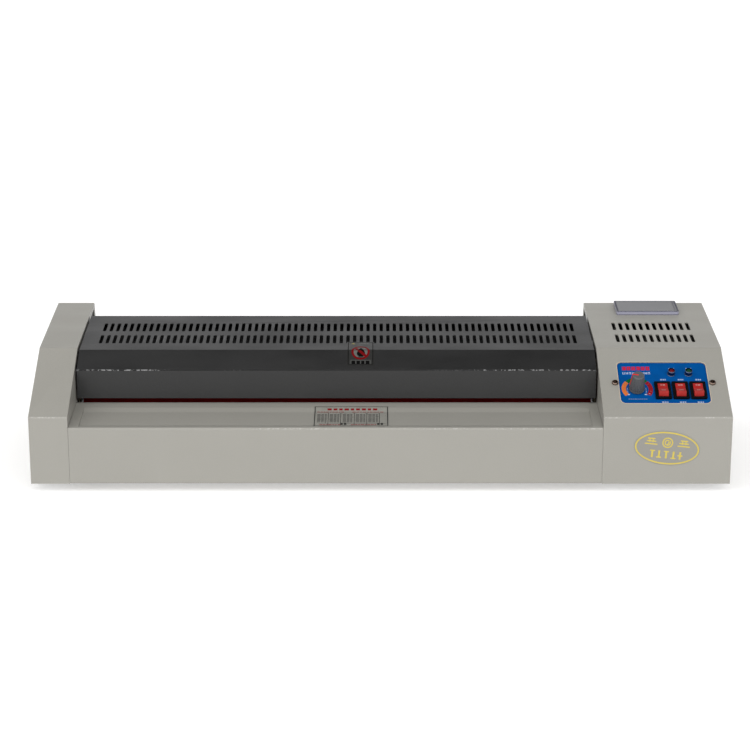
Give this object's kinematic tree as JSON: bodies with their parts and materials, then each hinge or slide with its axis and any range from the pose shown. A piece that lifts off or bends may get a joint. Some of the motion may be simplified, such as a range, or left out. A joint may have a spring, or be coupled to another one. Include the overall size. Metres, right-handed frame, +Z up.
{
  "type": "pouch laminator",
  "caption": "Wide office pouch laminator with heated silicone rollers, a slotted top cover, a front feed table and a side panel with knob, rocker switches and meter.",
  "frame": {"origin": "middle of the footprint, on the surface the rubber feet stand on", "axes": "+X to the operator's right along the rollers, +Y to the back (the way a pouch travels), +Z up"},
  "size_m": [0.666, 0.24, 0.1417],
  "materials": {
    "casing_paint": "satin light warm grey powder coat",
    "cover_paint": "matt charcoal powder coat",
    "dark_steel": "matt black heat-proof paint",
    "zinc_steel": "zinc plated sheet",
    "bright_steel": "polished",
    "roller_metal": "turned",
    "silicone": "satin red silicone",
    "black_rubber": "matt",
    "gear_plastic": "natural heat-proof nylon",
    "bush_plastic": "filled bearing plastic",
    "black_plastic": "fine satin",
    "red_plastic": "gloss",
    "knob_plastic": "satin grey",
    "pointer_paint": "gloss red",
    "panel_blue": "satin printed sheet",
    "red_lens": "clear red",
    "green_lens": "clear green",
    "clear_plastic": "clear moulded plastic",
    "dial_white": "printed card",
    "lamp_glass": "quartz tube",
    "board_green": "solder resist",
    "badge_film": "printed film",
    "label_film": "printed film"
  },
  "bodies": {
    "machine": {"bottom_pan": "zinc_steel", "left_side_plate": "zinc_steel", "right_side_plate": "zinc_steel", "tie_rods": "zinc_steel", "frame_fasteners": "zinc_steel", "left_housing": "casing_paint", "right_housing": "casing_paint", "top_cover": "cover_paint", "feed_table": "casing_paint", "exit_panel": "casing_paint", "heat_shield": "dark_steel", "guide_plates": "zinc_steel", "rubber_feet": "black_rubber", "foot_screws": "zinc_steel", "roller_bushes": "bush_plastic", "bearing_blocks": "bush_plastic", "pressure_springs": "zinc_steel", "heater_lamps": "lamp_glass", "lamp_brackets": "zinc_steel", "gear_motor": "zinc_steel", "motor_bracket": "zinc_steel", "idler_stud": "zinc_steel", "control_plate": "panel_blue", "panel_screws": "bright_steel", "potentiometer": "zinc_steel", "switch_bodies": "black_plastic", "led_bezels": "bright_steel", "red_led": "red_lens", "green_led": "green_lens", "meter_case": "black_plastic", "meter_dial": "dial_white", "meter_lens": "clear_plastic", "control_board": "board_green", "thermostat": "zinc_steel", "fuse_holder": "black_plastic", "cord_gland": "black_rubber", "badge": "badge_film", "instruction_label": "label_film", "warning_label": "label_film"},
    "lower_hot_roller": {"lower_hot_core": "roller_metal", "lower_hot_sleeve": "silicone", "lower_hot_gear": "gear_plastic"},
    "upper_hot_roller": {"upper_hot_core": "roller_metal", "upper_hot_sleeve": "silicone", "upper_hot_gear": "gear_plastic"},
    "lower_pull_roller": {"lower_pull_core": "roller_metal", "lower_pull_sleeve": "silicone", "lower_pull_gear": "gear_plastic"},
    "upper_pull_roller": {"upper_pull_core": "roller_metal", "upper_pull_sleeve": "silicone", "upper_pull_gear": "gear_plastic"},
    "idler": {"idler_gear": "gear_plastic"},
    "motor_shaft": {"motor_pinion": "zinc_steel"},
    "knob": {"temperature_knob": "knob_plastic", "knob_pointer": "pointer_paint", "pot_shaft": "zinc_steel"},
    "rocker_left": {"left_rocker": "red_plastic"},
    "rocker_middle": {"middle_rocker": "red_plastic"},
    "rocker_right": {"right_rocker": "red_plastic"},
    "needle": {"meter_needle": "pointer_paint"}
  },
  "joints": [
    {"name": "lower_hot_spin", "type": "hinge", "parent": "machine", "child": "lower_hot_roller", "pos_m": [-0.0425, -0.0247, 0.05675], "axis": [1, 0, 0], "continuous": true},
    {"name": "upper_hot_spin", "type": "hinge", "parent": "machine", "child": "upper_hot_roller", "pos_m": [-0.0425, -0.0247, 0.09125], "axis": [1, 0, 0], "continuous": true},
    {"name": "lower_pull_spin", "type": "hinge", "parent": "machine", "child": "lower_pull_roller", "pos_m": [-0.0425, 0.0303, 0.05975], "axis": [1, 0, 0], "continuous": true},
    {"name": "upper_pull_spin", "type": "hinge", "parent": "machine", "child": "upper_pull_roller", "pos_m": [-0.0425, 0.0303, 0.08825], "axis": [1, 0, 0], "continuous": true},
    {"name": "idler_spin", "type": "hinge", "parent": "machine", "child": "idler", "pos_m": [0.228, 0.00508, 0.04648], "axis": [1, 0, 0], "continuous": true},
    {"name": "motor_spin", "type": "hinge", "parent": "machine", "child": "motor_shaft", "pos_m": [0.235, 0.05493, 0.05315], "axis": [1, 0, 0], "continuous": true},
    {"name": "knob_turn", "type": "hinge", "parent": "machine", "child": "knob", "pos_m": [0.2456, -0.08689, 0.09336], "axis": [0, -0.5121, 0.8589], "range_deg": [-210, 60]},
    {"name": "left_rocker_tip", "type": "hinge", "parent": "machine", "child": "rocker_left", "pos_m": [0.2704, -0.08808, 0.09009], "axis": [1, 0, 0], "range_deg": [0, 24]},
    {"name": "middle_rocker_tip", "type": "hinge", "parent": "machine", "child": "rocker_middle", "pos_m": [0.2873, -0.08808, 0.09009], "axis": [1, 0, 0], "range_deg": [0, 24]},
    {"name": "right_rocker_tip", "type": "hinge", "parent": "machine", "child": "rocker_right", "pos_m": [0.3042, -0.08808, 0.09009], "axis": [1, 0, 0], "range_deg": [0, 24]},
    {"name": "needle_swing", "type": "hinge", "parent": "machine", "child": "needle", "pos_m": [0.2728, 0.05383, 0.13427], "axis": [0, -0.1353, 0.9908], "range_deg": [-76, 0], "stiffness_Nm_per_rad": 0.0001}
  ],
  "couplings": [
    {"joint": "upper_hot_spin", "follows": "lower_hot_spin", "ratio": -1},
    {"joint": "idler_spin", "follows": "lower_hot_spin", "ratio": -1.2105},
    {"joint": "lower_pull_spin", "follows": "lower_hot_spin", "ratio": 1.2105},
    {"joint": "upper_pull_spin", "follows": "lower_hot_spin", "ratio": -1.2105},
    {"joint": "motor_spin", "follows": "lower_hot_spin", "ratio": -1.5333}
  ]
}
